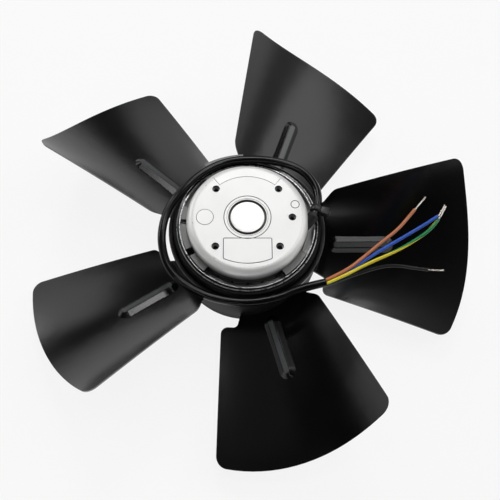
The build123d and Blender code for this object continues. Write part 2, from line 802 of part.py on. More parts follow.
def bead_body(shift, sink):
    """A bead with sloped sides and a rounded top edge, shifted along the sheet's normal."""
    plane = bead_plane()
    slope = (bead_width - bead_top_width) / 2 / bead_rise
    foot = 2 * sink * slope
    with BuildPart() as body:
        with BuildSketch(plane.offset(shift - sink)):
            SlotOverall(bead_length + foot, bead_width + foot)
        with BuildSketch(plane.offset(shift + bead_rise)):
            SlotOverall(bead_length - bead_width + bead_top_width, bead_top_width)
        loft()
        top = body.faces().sort_by(Axis(plane.origin, plane.z_dir))[-1]
        fillet(top.edges(), radius=bead_edge)
    return body.part


# One blade: a cambered, twisted sheet with a pressed bead, hollow underneath
with BuildPart() as blade:
    add(sheet_layer(-sheet / 2, sheet / 2, blade_outline()))
    add(bead_body(sheet / 2, sheet / 2))
    add(bead_body(-sheet / 2, sheet), mode=Mode.SUBTRACT)

# Impeller: collar with a flared lip, and the five blades
with BuildPart() as impeller:
    lip_low = -lip_depth - sheet
    bend_x = collar_radius + lip_bend
    bend_z = lip_low - lip_bend
    with BuildSketch(Plane.XZ):
        with BuildLine():
            Line((rotor_radius, bend_z - collar_height), (rotor_radius, bend_z))
            CenterArc((bend_x, bend_z), lip_bend + sheet, 90, 90)
            Line((bend_x, -lip_depth), (collar_radius + rim_reach, -lip_depth))
            Line((collar_radius + rim_reach, -lip_depth), (collar_radius + rim_reach, lip_low))
            Line((collar_radius + rim_reach, lip_low), (bend_x, lip_low))
            CenterArc((bend_x, bend_z), lip_bend, 90, 90)
            Line((collar_radius, bend_z), (collar_radius, bend_z - collar_height))
            Line((collar_radius, bend_z - collar_height), (rotor_radius, bend_z - collar_height))
        make_face()
    revolve(axis=Axis.Z)
    # Flat lip between each blade and the next one's notch
    with BuildSketch(Plane.XY.offset(lip_low)) as lip_sketch:
        with PolarLocations(0, blade_count):
            with BuildLine():
                lip_inner = collar_radius + lip_bend
                span = lip_end_angle - lip_start_angle
                lip_out = CenterArc((0, 0), lip_radius, lip_start_angle, span)
                lip_in = CenterArc((0, 0), lip_inner, lip_start_angle, span)
                Line(lip_out @ 0, lip_in @ 0)
                Line(lip_out @ 1, lip_in @ 1)
            make_face()
    extrude(amount=sheet)
    with PolarLocations(0, blade_count):
        add(blade.part)
finish_piece(impeller.part, "impeller")


def cord_path(route, diameter, name):
    """Straight runs joined by tangent arcs, each as large as its two runs allow."""
    corners = route_points(route)
    radii = []
    for before, here, after in zip(corners, corners[1:], corners[2:]):
        run = min((here - before).length, (after - here).length)
        turn = radians((here - before).get_angle(after - here))
        radii.append(round(bend_share * run / tan(turn / 2), 3))
    print(f"{name}: bend radii {radii}, smallest {min(radii) / diameter:.1f} diameters")
    with BuildLine() as path:
        FilletPolyline(*corners, radius=radii)
    return path.wires()[0]


def cord_tube(route, diameter, name):
    """A plain round cord swept along its path, its volume compared with section times length."""
    path = cord_path(route, diameter, name)
    with BuildPart() as tube:
        with BuildSketch(Plane(origin=path @ 0, z_dir=path % 0)):
            Circle(diameter / 2)
        sweep(path=path)
    expected = pi * diameter**2 / 4 * path.length
    print(f"{name}: length {path.length:.1f} mm, volume ratio {tube.part.volume / expected:.4f}")
    finish_piece(tube.part, name)


cord_tube(cable_route, cable_diameter, "cable_sheath")

# Grommet where the cable leaves the flange: a neck in the wall and a collar outside it
with BuildPart() as cable_grommet:
    with BuildSketch(exit_plane):
        Circle(grommet_neck / 2)
    extrude(amount=grommet_collar_start)
    with BuildSketch(exit_plane.offset(grommet_collar_start)):
        Circle(grommet_collar / 2)
    extrude(amount=grommet_collar_width)
    with BuildSketch(exit_plane):
        Circle(cable_diameter / 2)
    extrude(amount=2 * grommet_collar_start, both=True, mode=Mode.SUBTRACT)
finish_piece(cable_grommet.part, "cable_grommet")

# Cable tie just past the grommet: a band round the cable and its square head
tie_run = tie_end - exit_end
tie_centre = exit_end + tie_run * tie_place
tie_plane = Plane(origin=tie_centre, x_dir=Vector(0, 0, 1).cross(tie_run), z_dir=tie_run)
with BuildPart() as cable_tie:
    with BuildSketch(tie_plane.offset(-tie_width / 2)):
        Circle(cable_diameter / 2 + tie_band)
        with Locations((-cable_diameter / 2 - tie_head_size[0] / 2, 0)):
            RectangleRounded(tie_head_size[0], tie_head_size[1], tie_head_corner)
        Circle(cable_diameter / 2, mode=Mode.SUBTRACT)
    extrude(amount=tie_width)
finish_piece(cable_tie.part, "cable_tie")

# The four insulated cores and their stripped ends
for colour, route, end_route in (
    ("brown", brown_route, brown_end_route),
    ("blue", blue_route, blue_end_route),
    ("green_yellow", green_yellow_route, green_yellow_end_route),
    ("black", black_route, black_end_route),
):
    cord_tube(route, core_wire_diameter, f"core_{colour}")
    cord_tube(end_route, bare_wire_diameter, f"bare_end_{colour}")
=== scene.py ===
# %% [markdown]
# # An axial fan, dressed for its portrait
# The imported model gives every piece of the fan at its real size: metres, +Z out of the mounting
# face, the origin in the middle of that face. This lesson adds what a solid model has no room for:
# paint, cast metal, soft cable, stranded wire, light and a floor. Nothing of the solid model is
# moved or resized here.

from math import cos, pi, radians, sin

import bmesh
import bpy
from mathutils import Matrix, Quaternion, Vector


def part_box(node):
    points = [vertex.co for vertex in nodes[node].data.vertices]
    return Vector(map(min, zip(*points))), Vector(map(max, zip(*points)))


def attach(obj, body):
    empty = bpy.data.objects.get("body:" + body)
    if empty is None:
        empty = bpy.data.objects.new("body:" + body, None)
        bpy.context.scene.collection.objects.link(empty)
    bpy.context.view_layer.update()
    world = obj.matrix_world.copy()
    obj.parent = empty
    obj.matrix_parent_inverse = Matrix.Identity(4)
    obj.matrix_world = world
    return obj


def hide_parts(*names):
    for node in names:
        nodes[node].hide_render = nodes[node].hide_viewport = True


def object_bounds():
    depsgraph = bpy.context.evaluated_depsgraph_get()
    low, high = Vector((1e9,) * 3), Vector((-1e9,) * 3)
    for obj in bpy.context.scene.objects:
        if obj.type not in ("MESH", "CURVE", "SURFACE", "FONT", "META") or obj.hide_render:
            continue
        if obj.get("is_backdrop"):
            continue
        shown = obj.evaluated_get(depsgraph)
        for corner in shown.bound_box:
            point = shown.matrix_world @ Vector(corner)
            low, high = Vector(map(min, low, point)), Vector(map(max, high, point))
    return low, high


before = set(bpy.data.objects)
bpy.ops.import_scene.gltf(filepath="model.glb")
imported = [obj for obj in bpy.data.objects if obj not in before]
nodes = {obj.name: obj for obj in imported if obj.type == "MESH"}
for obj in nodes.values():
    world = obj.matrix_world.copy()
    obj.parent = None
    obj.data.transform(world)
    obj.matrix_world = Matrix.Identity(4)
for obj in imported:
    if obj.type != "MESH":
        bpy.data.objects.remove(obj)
cad_low, cad_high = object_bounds()
size_text = " x ".join(f"{1000 * side:.1f}" for side in cad_high - cad_low)
print("fan:", size_text, "mm, in", len(nodes), "nodes")

# %% [markdown]
# ## The camera
# A portrait is settled by its viewpoint, so the camera comes first. It could be placed by eye, but
# here the five equal blades and the five holes of the flange gave enough known points to work the
# position out: 0.44 m from the mounting face, 64 degrees up, looking down past the near blade.
# The camera's turn is written as one axis whose length is the angle in radians. The lens is given
# in millimetres for a sensor 36 mm wide, and the picture is square.

# %% Camera
camera_place = Vector((-0.0067674, -0.193304, 0.397961))
camera_turn = Vector((0.404742, -0.018565, -0.004131))
lens = 50.217
sensor_width = 36.0
nearest_seen = 0.01

camera_data = bpy.data.cameras.new("portrait_camera")
camera_data.lens = lens
camera_data.sensor_width = sensor_width
camera_data.clip_start = nearest_seen
camera = bpy.data.objects.new("portrait_camera", camera_data)
camera.rotation_mode = "QUATERNION"
camera.rotation_quaternion = Quaternion(camera_turn.normalized(), camera_turn.length)
camera.location = camera_place
bpy.context.scene.collection.objects.link(camera)
bpy.context.scene.camera = camera
print("camera:", f"{camera_place.length:.3f} m from the mounting face, lens {lens} mm")

# %% [markdown]
# ## Routes of the cable and its cores
# The cable leaves the flange's wall on the right and goes round the motor once, over the roots of
# the blades. At its end the sheath is cut off and four cores fan out over the right blade. Each
# route is the same short list that the solid model has: an angle in degrees, then a reach beyond
# the flange's edge and a height in metres. A NURBS spline of order 3 takes these points as its
# control points and gives one smooth line, with no corner for a bent-wire look.
# Each bare end starts where its core stops, so it adds two points to the core's last one.

# %% Routes
flange_radius = 0.039

cable_route = [
    (-5.6, -0.0020, -0.0062),
    (5.7, 0.0044, -0.0062),
    (16.1, 0.0093, -0.0063),
    (27.7, 0.0128, -0.0065),
    (40.2, 0.0140, -0.0068),
    (53.2, 0.0128, -0.0072),
    (68.9, 0.0097, -0.0075),
    (86.9, 0.0077, -0.0075),
    (107.5, 0.0082, -0.0075),
    (129.3, 0.0082, -0.0073),
    (151.0, 0.0096, -0.0076),
    (168.4, 0.0143, -0.0104),
    (185.8, 0.0172, -0.0129),
    (202.3, 0.0188, -0.0133),
    (215.6, 0.0194, -0.0132),
    (229.8, 0.0169, -0.0137),
    (245.8, 0.0152, -0.0142),
    (268.2, 0.0139, -0.0142),
    (290.6, 0.0143, -0.0135),
    (308.3, 0.0159, -0.0123),
    (320.6, 0.0247, -0.0106),
]
core_routes = {
    "brown": [
        (-38.8, 0.0237, -0.0094),
        (-28.7, 0.0313, -0.0077),
        (-18.9, 0.0383, -0.0060),
        (-10.3, 0.0474, -0.0043),
        (-5.0, 0.0562, -0.0021),
        (-1.0, 0.0621, -0.0004),
        (2.6, 0.0679, 0.0012),
    ],
    "blue": [
        (-38.6, 0.0239, -0.0118),
        (-29.0, 0.0314, -0.0104),
        (-18.5, 0.0410, -0.0073),
        (-12.1, 0.0510, -0.0038),
        (-7.0, 0.0625, -0.0001),
        (-3.2, 0.0738, 0.0038),
        (-1.2, 0.0803, 0.0065),
    ],
    "green_yellow": [
        (-40.2, 0.0255, -0.0094),
        (-31.0, 0.0322, -0.0079),
        (-20.6, 0.0429, -0.0062),
        (-14.6, 0.0548, -0.0027),
        (-10.9, 0.0630, -0.0001),
        (-7.6, 0.0705, 0.0022),
        (-4.9, 0.0767, 0.0039),
        (-1.9, 0.0809, 0.0048),
    ],
    "black": [
        (-40.0, 0.0257, -0.0118),
        (-31.5, 0.0329, -0.0102),
        (-23.2, 0.0455, -0.0057),
        (-20.3, 0.0536, -0.0029),
        (-19.3, 0.0623, -0.0002),
        (-19.3, 0.0696, 0.0019),
        (-18.9, 0.0773, 0.0041),
    ],
}
bare_ends = {
    "brown": [(4.6, 0.0719, 0.0022), (6.3, 0.0756, 0.0032)],
    "blue": [(0.2, 0.0829, 0.0073), (2.1, 0.0850, 0.0080)],
    "green_yellow": [(0.0, 0.0839, 0.0056), (2.0, 0.0862, 0.0065)],
    "black": [(-18.6, 0.0819, 0.0053), (-18.1, 0.0861, 0.0062)],
}
cable_diameter = 0.0054
core_diameter = 0.0021
bare_diameter = 0.0009
steps_per_point = 16
bevel_steps = 7


def on_circle(angle, radius, height):
    """A point at an angle in degrees and a distance from the fan's axis."""
    return Vector((radius * cos(radians(angle)), radius * sin(radians(angle)), height))


def route_points(route):
    """A route's angles, reaches and heights as points."""
    return [on_circle(angle, flange_radius + reach, height) for angle, reach, height in route]


def route_curve(name, route, diameter):
    """A curve whose one NURBS spline is drawn by the route's points."""
    points = route_points(route)
    line = bpy.data.curves.new(name, "CURVE")
    line.dimensions = "3D"
    line.resolution_u = steps_per_point
    line.bevel_depth = diameter / 2
    line.bevel_resolution = bevel_steps
    line.use_fill_caps = True
    spline = line.splines.new("NURBS")
    spline.points.add(len(points) - 1)
    for control, place in zip(spline.points, points):
        control.co = (*place, 1.0)
    spline.order_u = 3
    spline.use_endpoint_u = True
    piece = bpy.data.objects.new(name, line)
    bpy.context.scene.collection.objects.link(piece)
    return piece


def spline_line(name, route):
    """Points along a route's NURBS spline, read from a curve that has no thickness."""
    guide = route_curve(name, route, 0.0)
    bpy.context.view_layer.update()
    mesh = bpy.data.meshes.new_from_object(guide)
    line = [vertex.co.copy() for vertex in mesh.vertices]
    bpy.data.meshes.remove(mesh)
    bpy.data.objects.remove(guide)
    return line


def line_length(line):
    """The length of the straight steps from point to point."""
    return sum((b - a).length for a, b in zip(line, line[1:]))


print("cable along its spline:", f"{1000 * line_length(spline_line('guide', cable_route)):.1f} mm")

# %% [markdown]
# ## A tube that knows its own way round
# A curve with a bevel makes a good plain cable. The green and yellow core needs more: its two
# colours each cover one side and wind slowly round the wire. A mesh tube can do that without any
# picture. Rings of vertices follow the spline, each turned a little more than the last, so a
# colour boundary that follows the edges winds by itself.

# %% Tube and mesh helpers


def new_piece(name, vertices, faces, smooth=True):
    """A mesh object from vertices and faces."""
    mesh = bpy.data.meshes.new(name)
    mesh.from_pydata([tuple(v) for v in vertices], [], faces)
    mesh.validate()
    if smooth:
        mesh.shade_smooth()
    else:
        mesh.shade_flat()
    piece = bpy.data.objects.new(name, mesh)
    bpy.context.scene.collection.objects.link(piece)
    return piece


def frames_along(line):
    """At each point of a line: the point, and two directions square to the line that don't twist."""
    frames = []
    side = Vector((0, 0, 1))
    for index, place in enumerate(line):
        ahead = line[min(index + 1, len(line) - 1)] - line[max(index - 1, 0)]
        ahead.normalize()
        side = side - ahead * side.dot(ahead)
        side.normalize()
        frames.append((place, side.copy(), ahead.cross(side)))
    return frames


def tube_rings(line, radius, steps, turns=0.0):
    """Rings of vertices round a line, which wind round it the given number of turns."""
    vertices = []
    frames = frames_along(line)
    for index, (place, side, across) in enumerate(frames):
        wound = turns * index / (len(frames) - 1)
        for step in range(steps):
            angle = 2 * pi * (step / steps + wound)
            vertices.append(place + (side * cos(angle) + across * sin(angle)) * radius)
    return vertices


def tube_faces(rings, steps, start=0):
    """Faces between rings, with a cap at each end."""
    faces = []
    for ring in range(rings - 1):
        for step in range(steps):
            beside = (step + 1) % steps
            low = start + ring * steps
            high = low + steps
            faces.append((low + step, low + beside, high + beside, high + step))
    last = start + (rings - 1) * steps
    faces.append(tuple(range(start + steps - 1, start - 1, -1)))
    faces.append(tuple(range(last, last + steps)))
    return faces


def tube_piece(name, line, radius, steps, turns=0.0):
    """A closed tube along a line."""
    vertices = tube_rings(line, radius, steps, turns)
    return new_piece(name, vertices, tube_faces(len(line), steps))


print("a tube of 2 rings with 3 vertices each has", len(tube_faces(2, 3)), "faces, caps included")

# %% [markdown]
# ## Signals: shader maths as plain expressions
# Every finish below is worked out by nodes. Wiring them one by one is slow to read, so a small
# class wraps a socket: an expression on it adds the Math nodes that work it out, also when the
# number stands first, as in 1 - mask. A finish then reads like the sentence that describes it.

# %% Signals


class Signal:
    """One value in a node tree. Arithmetic on it adds Math nodes to that tree."""

    def __init__(self, bench, socket):
        self.bench = bench
        self.socket = socket

    def math(self, operation, *values):
        """A Math node that works on the given values."""
        return self.bench.node("ShaderNodeMath", {"operation": operation}, dict(enumerate(values)))

    def __add__(self, other):
        return self.math("ADD", self, other)

    def __radd__(self, other):
        return self.math("ADD", other, self)

    def __sub__(self, other):
        return self.math("SUBTRACT", self, other)

    def __rsub__(self, other):
        return self.math("SUBTRACT", other, self)

    def __mul__(self, other):
        return self.math("MULTIPLY", self, other)

    def __rmul__(self, other):
        return self.math("MULTIPLY", other, self)

    def __pow__(self, other):
        return self.math("POWER", self, other)

    def __mod__(self, other):
        return self.math("FLOORED_MODULO", self, other)

    def __abs__(self):
        return self.math("ABSOLUTE", self)

    def __gt__(self, other):
        return self.math("GREATER_THAN", self, other)

    def __lt__(self, other):
        return self.math("LESS_THAN", self, other)

    def sine(self):
        """The sine of an angle in radians."""
        return self.math("SINE", self)

    def wave(self, pitch):
        """A sine from -1 to 1 that comes round once in each pitch."""
        return (self * (2 * pi / pitch)).sine()

    def rise(self, low, high):
        """0 below low, 1 above high, smooth between them."""
        settings = {"interpolation_type": "SMOOTHSTEP"}
        return self.bench.node("ShaderNodeMapRange", settings, {0: self, 1: low, 2: high})


print("signals take + - * ** % abs > and <, also with a number first in + - and *")

# %% [markdown]
# ## Where signals live
# Nodes stand in a tree. The world has one and so has each material, so one class does for both
# what they share: it adds a node with its settings and inputs, and hands back one of its outputs
# as a signal. A material's own class adds the shader and the patterns that paint, metal and
# plastic draw on: where a point lies, clouds, specks, a mix of colours and a shallow relief.

# %% Benches and finishes


class Bench:
    """A place to add nodes: the node tree of a material or of the world."""

    def __init__(self, tree):
        self.tree = tree

    def node(self, kind, settings=None, inputs=None, output=0):
        """Adds a node: its settings first, then values or links for its sockets."""
        node = self.tree.nodes.new(kind)
        for name, value in (settings or {}).items():
            setattr(node, name, value)
        for key, value in (inputs or {}).items():
            self.join(value, node.inputs[key])
        return Signal(self, node.outputs[output])

    def join(self, value, socket):
        """Links a signal to a socket, or sets a plain value there."""
        if isinstance(value, Signal):
            self.tree.links.new(value.socket, socket)
        else:
            socket.default_value = value

    def parts(self, spot):
        """The three numbers of a vector."""
        return [self.node("ShaderNodeSeparateXYZ", inputs={0: spot}, output=axis) for axis in range(3)]

    def any_ray(self, *kinds):
        """1 for rays of the named kinds, 0 for all others."""
        rays = self.tree.nodes.new("ShaderNodeLightPath")
        shares = [Signal(self, rays.outputs[kind]) for kind in kinds]
        total = sum(shares[1:], shares[0])
        return total.math("MINIMUM", total, 1.0)


class Finish(Bench):
    """A material for one kind of surface, with its shader."""

    def __init__(self, name, constants):
        self.material = bpy.data.materials.new(name)
        self.material.use_nodes = True
        super().__init__(self.material.node_tree)
        self.tree.nodes.clear()
        self.out = self.tree.nodes.new("ShaderNodeOutputMaterial")
        self.shader = self.tree.nodes.new("ShaderNodeBsdfPrincipled")
        self.tree.links.new(self.shader.outputs[0], self.out.inputs[0])
        for socket, value in constants.items():
            self.feed(socket, value)

    def feed(self, socket, value):
        """Links or sets one socket of the shader."""
        self.join(value, self.shader.inputs[socket])

    def spot(self):
        """The surface point in the fan's frame, as one vector."""
        return self.node("ShaderNodeTexCoord", output=3)

    def place(self):
        """The surface point's x, y and z in the fan's frame."""
        return self.parts(self.spot())

    def distance(self, middle=(0.0, 0.0)):
        """The distance from an upright line through the given x and y."""
        x, y, _ = self.place()
        return ((x - middle[0]) ** 2 + (y - middle[1]) ** 2) ** 0.5

    def noise(self, scale, detail=3.0):
        """Cloudy noise from 0 to 1; scale is in patches per metre."""
        inputs = {"Vector": self.spot(), "Scale": scale, "Detail": detail}
        return self.node("ShaderNodeTexNoise", inputs=inputs)

    def specks(self, scale, size):
        """Small round dots, 1 inside and 0 outside."""
        near = self.node("ShaderNodeTexVoronoi", inputs={"Vector": self.spot(), "Scale": scale})
        return 1 - near.rise(size * 0.6, size)

    def mix(self, share, first, second):
        """A colour between two others."""
        first, second = [(*c, 1.0) if isinstance(c, tuple) else c for c in (first, second)]
        return self.node("ShaderNodeMix", {"data_type": "RGBA"}, {0: share, 6: first, 7: second}, 2)

    def relief(self, height, depth):
        """Bumps of a real depth in metres where height goes from 0 to 1."""
        inputs = {"Height": height, "Distance": depth, "Strength": 1.0}
        self.feed("Normal", self.node("ShaderNodeBump", inputs=inputs))


def wear(piece, *finishes):
    """Gives a piece its finishes, in the order of its material slots."""
    piece.data.materials.clear()
    for finish in finishes:
        piece.data.materials.append(finish.material)


print("a finish can use: place, distance, noise, specks, mix, relief")

# %% [markdown]
# ## Black paint
# The impeller and the rotor are coated with the same black paint. On the pressed sheet it dries
# satin, with a faint orange peel that breaks up long reflections. A flat black would hide that. So
# the colour stays almost black, and the roughness and a very shallow relief do the work, with a few
# dust specks because no real black part is without. Two masks follow the fan's shape: along the
# flat top of the bead in each blade a lighter grey is painted in as a highlight, and deep inside the
# collar, where little spray arrives, the paint stays dry and dull. The cup in there is dull all over.

# %% Black paint
paint_black = (0.0016, 0.0016, 0.0019)
dust_grey = (0.06, 0.06, 0.06)
# lighter grey painted along each bead's crown as a highlight
crown_highlight_grey = (0.085, 0.088, 0.09)
blade_step = 2 * pi / 5
bead_bearing = radians(69.8)
crown_start = 0.0585
crown_end = 0.0965
crown_aside = -0.0015
crown_half = 0.0017
crown_soft_inside = 0.0005
crown_soft_outside = 0.0002
crown_fade = 0.002
dry_radius = 0.0504
dry_fade = 0.0012
dry_roughness = 0.5


def bead_crown(finish):
    """1 along the top of the bead in each blade, 0 elsewhere."""
    x, y, _ = finish.place()
    radius = finish.distance()
    turn = y.math("ARCTAN2", y, x) - bead_bearing + blade_step / 2
    off = turn % blade_step - blade_step / 2
    aside = abs(radius * off.sine() - crown_aside)
    started = radius.rise(crown_start, crown_start + crown_fade)
    ended = radius.rise(crown_end - crown_fade, crown_end)
    beside = aside.rise(crown_half - crown_soft_inside, crown_half + crown_soft_outside)
    return started * (1 - ended) * (1 - beside)


def black_paint(name, roughness, peel, gloss, painted_highlight=None):
    """Almost black paint with orange peel and dust, and a mask for a painted highlight in lighter grey."""
    finish = Finish(name, {"Specular IOR Level": gloss})
    cloud = finish.noise(35.0)
    dust = finish.specks(420.0, 0.055) * finish.noise(60.0).rise(0.55, 0.7)
    colour = finish.mix(dust * 0.35, paint_black, dust_grey)
    # Painted highlight: a lighter grey along the bead's crown, broken up by a fine grain.
    if painted_highlight is not None:
        grain = 0.55 + 0.9 * finish.noise(900.0, 2.0)
        colour = finish.mix(painted_highlight(finish) * grain, colour, crown_highlight_grey)
    finish.feed("Base Color", colour)
    dry = 1 - finish.distance().rise(dry_radius, dry_radius + dry_fade)
    finish.feed("Roughness", roughness + 0.08 * (cloud - 0.5) + 0.25 * dust + dry_roughness * dry)
    finish.relief(finish.noise(700.0, 1.0) + 0.15 * finish.noise(90.0, 1.0), peel)
    return finish


wear(nodes["impeller"], black_paint("satin_black_paint", 0.21, 0.000010, 0.5, bead_crown))
wear(nodes["rotor_cup"], black_paint("dull_black_paint", 0.14, 0.000004, 0.2))
print("painted black: impeller, and rotor_cup, dull within", f"{1000 * dry_radius:.1f} mm of the axis")

# %% [markdown]
# ## Cast and machined metal
# The flange is die-cast aluminium, blasted to an even satin with a fine grain. Pure metal would
# mirror every dark part of the room, so its shader is a little more than half metal, and with a
# middle roughness this gives the soft, nearly white face. The grain is a shallow noise. Shade is
# painted into its colour: the lines and holes sunk into the face are darkened, the side wall darkens
# towards its foot, and the skirt below it is darker, most of all on the front side. The bearing cap
# is turned: its marks are rings round the fan's axis, so its relief follows the distance from the
# axis. Heights count from the mounting face, in metres.

# %% Cast metal
face_edge = 0.0350
face_line = -0.00012
face_hole = -0.0052
wall_head = -0.0035
wall_foot = -0.0100
skirt_top = -0.0094
skirt_fade = 0.0006
front_near = -0.030
front_far = -0.005
# How deep the painted shade is: in sunk lines and holes, at the wall's foot, on the skirt, and more on its
# front side.
line_shade = 0.97
foot_shade = 0.80
skirt_shade = 0.10
front_shade = 0.25
joint_far = 0.0005
joint_near = 0.0002
# the colour of the painted shade on the cast metal
painted_shade_black = (0.02, 0.02, 0.02)
plug_low, plug_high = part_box("blind_plug")
plug_middle = ((plug_low.x + plug_high.x) / 2, (plug_low.y + plug_high.y) / 2)
plug_radius = (plug_high.x - plug_low.x) / 2


def sunk(finish, edge, top=face_line):
    """1 in the fine lines and holes that are sunk into the mounting face, 0 elsewhere."""
    _, _, z = finish.place()
    return (z < top) * (z > face_hole) * (finish.distance() < edge)


def flange_shade(finish):
    """Painted shade: in the sunk lines and holes, on the wall towards its foot, and on the skirt, most in
    front.
    """
    _, y, z = finish.place()
    skirt = 1 - z.rise(skirt_top - skirt_fade, skirt_top)
    foot = 1 - z.rise(wall_foot, wall_head)
    front = 1 - y.rise(front_near, front_far)
    dark = foot_shade * foot + skirt * (skirt_shade + front_shade * front)
    return dark + sunk(finish, face_edge) * (line_shade - dark)


def cover_shade(finish):
    """Painted shade in the lines where the cover's outline is sunk into the face."""
    return line_shade * sunk(finish, face_edge)


def plug_shade(finish):
    """Painted shade in the narrow joint round the plug's edge."""
    return 0.95 * finish.distance(plug_middle).rise(plug_radius - joint_far, plug_radius - joint_near)


def cast_aluminium(name, tone, roughness, shade=None):
    """Blasted cast metal, with a mask for painted shade."""
    finish = Finish(name, {"Metallic": 0.6})
    grain = finish.noise(2600.0, 2.0)
    cloud = finish.noise(55.0)
    pale = tuple(tone * share for share in (1.0, 1.0, 0.985))
    dull = tuple(tone * share for share in (0.88, 0.88, 0.87))
    colour = finish.mix(0.35 * grain + 0.3 * cloud, pale, dull)
    # Painted shade, wherever the shade mask says.
    if shade is not None:
        colour = finish.mix(shade(finish), colour, painted_shade_black)
    finish.feed("Base Color", colour)
    finish.feed("Roughness", roughness + 0.12 * (grain - 0.5) + 0.06 * (cloud - 0.5))
    finish.relief(grain + 0.3 * finish.noise(420.0, 1.0), 0.000018)
    return finish


metals = {
    "stator_flange": cast_aluminium("blasted_cast_aluminium", 0.91, 0.50, flange_shade),
    "connection_cover": cast_aluminium("cover_cast_aluminium", 0.90, 0.48, cover_shade),
    "blind_plug": cast_aluminium("plug_aluminium", 0.88, 0.46, plug_shade),
    "rotor_cage": cast_aluminium("cast_cage_aluminium", 0.74, 0.50),
}
print("cast:", ", ".join(metals))

# %% Turned and ground metal
cap_groove = -0.0004
cap_edge = 0.0132
cap_joint = (0.0004, 0.0001)
# brownish dark for the painted shade in the cap's groove and joint
groove_shade_brown = (0.03, 0.028, 0.025)


def turned_metal(name, tone, roughness, pitch, depth=0.000003, shade=None):
    """Metal with turning marks round the fan's axis."""
    finish = Finish(name, {"Metallic": 1.0})
    rings = finish.distance().wave(pitch) * 0.5 + 0.5
    streak = finish.noise(300.0, 4.0)
    dull = tuple(0.8 * channel for channel in tone)
    colour = finish.mix(0.25 * rings + 0.3 * streak, tone, dull)
    # Painted shade, wherever the shade mask says.
    if shade is not None:
        colour = finish.mix(shade(finish), colour, groove_shade_brown)
    finish.feed("Base Color", colour)
    finish.feed("Roughness", roughness + 0.10 * rings + 0.10 * (streak - 0.5))
    finish.relief(rings + 0.4 * streak, depth)
    return finish


def cap_shade(finish):
    """Painted shade on the groove's floor and in the joint round the cap."""
    joint = finish.distance().rise(cap_edge - cap_joint[0], cap_edge - cap_joint[1])
    return 0.93 * sunk(finish, cap_edge, cap_groove) + 0.7 * joint


bearing_steel = turned_metal("ground_bearing_steel", (0.72, 0.72, 0.73), 0.16, 0.00012)
spring_steel = turned_metal("spring_steel", (0.50, 0.50, 0.52), 0.28, 0.0003)
bearing_metals = {
    "outer_ring": bearing_steel,
    "inner_ring": bearing_steel,
    "balls": turned_metal("polished_ball_steel", (0.78, 0.78, 0.80), 0.06, 0.0009, 0.0000005),
    "cage": turned_metal("pressed_cage_steel", (0.62, 0.61, 0.58), 0.30, 0.0004),
    "shields": turned_metal("shield_steel", (0.66, 0.66, 0.66), 0.24, 0.0004),
}
metals["bearing_cap"] = turned_metal("turned_cap_steel", (0.93, 0.93, 0.92), 0.42, 0.00022, shade=cap_shade)
metals["preload_spring"] = spring_steel
metals["retaining_ring"] = spring_steel
metals["shaft"] = bearing_steel
for place in ("upper", "lower"):
    for part, metal in bearing_metals.items():
        metals[f"{place}_bearing_{part}"] = metal
for name, metal in metals.items():
    wear(nodes[name], metal)
print("bare metal on", len(metals), "pieces")

# %% [markdown]
# ## The balancing ring
# The ring in the rotor's mouth is painted with the rotor. Along its two upper rims the colour turns
# to bare steel in patches, a painted highlight that draws thin bright lines there. The mask is the
# height and the distance from the axis: no picture is needed for it.

# %% Balancing ring
_, ring_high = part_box("balance_ring")
ring_outer = ring_high.x
ring_wall = 0.0024
ring_inner = ring_outer - ring_wall
# widths of the painted highlight along the rims: outer, inner, and down from the top
outer_highlight = (0.0007, 0.0004)
inner_highlight = (0.0003, 0.0006)
top_highlight = (0.0009, 0.0005)


def ring_paint():
    """Black paint with bare steel painted along the ring's two upper rims as a highlight."""
    finish = Finish("ring_paint_with_rim_highlight", {})
    _, _, z = finish.place()
    radius = finish.distance()
    outside = radius.rise(ring_outer - outer_highlight[0], ring_outer - outer_highlight[1])
    inside = 1 - radius.rise(ring_inner + inner_highlight[0], ring_inner + inner_highlight[1])
    edge = (outside + inside) * z.rise(ring_high.z - top_highlight[0], ring_high.z - top_highlight[1])
    # Bare steel in patches along both rims: a painted highlight.
    highlighted = edge * finish.noise(500.0).rise(0.25, 0.50)
    finish.feed("Base Color", finish.mix(highlighted, (0.002, 0.002, 0.002), (0.60, 0.60, 0.61)))
    finish.feed("Metallic", highlighted)
    finish.feed("Roughness", 0.12 + 0.2 * highlighted)
    finish.relief(finish.noise(900.0, 1.0), 0.000006)
    return finish


wear(nodes["balance_ring"], ring_paint())
print("ring worn along its rims at", f"{1000 * ring_inner:.1f} and {1000 * ring_outer:.1f} mm")

# %% [markdown]
# ## Inside the motor
# Nobody sees the laminations, the winding or the insulators with the fan whole, but the part is
# also taken apart in other scenes. The stacks get their sheet lines from a wave of the height.
# The winding gets its wires from two waves, one of the distance from the axis and one of the
# height. The insulators and the protector are moulded, with a fine grain and slightly cloudy
# colour, and the same finish serves the cable, its cores, the grommet and the tie further down.

# %% Motor insides
sheet_pitch = 0.0005
wire_pitch = 0.0008


def laminations(name):
    """Stacked steel sheets with a little rust."""
    finish = Finish(name, {"Metallic": 0.8})
    _, _, z = finish.place()
    sheets = z.wave(sheet_pitch) * 0.5 + 0.5
    rust = finish.noise(160.0, 5.0).rise(0.55, 0.8)
    finish.feed("Base Color", finish.mix(rust * 0.5, (0.20, 0.20, 0.22), (0.16, 0.10, 0.07)))
    finish.feed("Roughness", 0.38 + 0.12 * sheets + 0.2 * rust)
    finish.relief(sheets, 0.00004)
    return finish


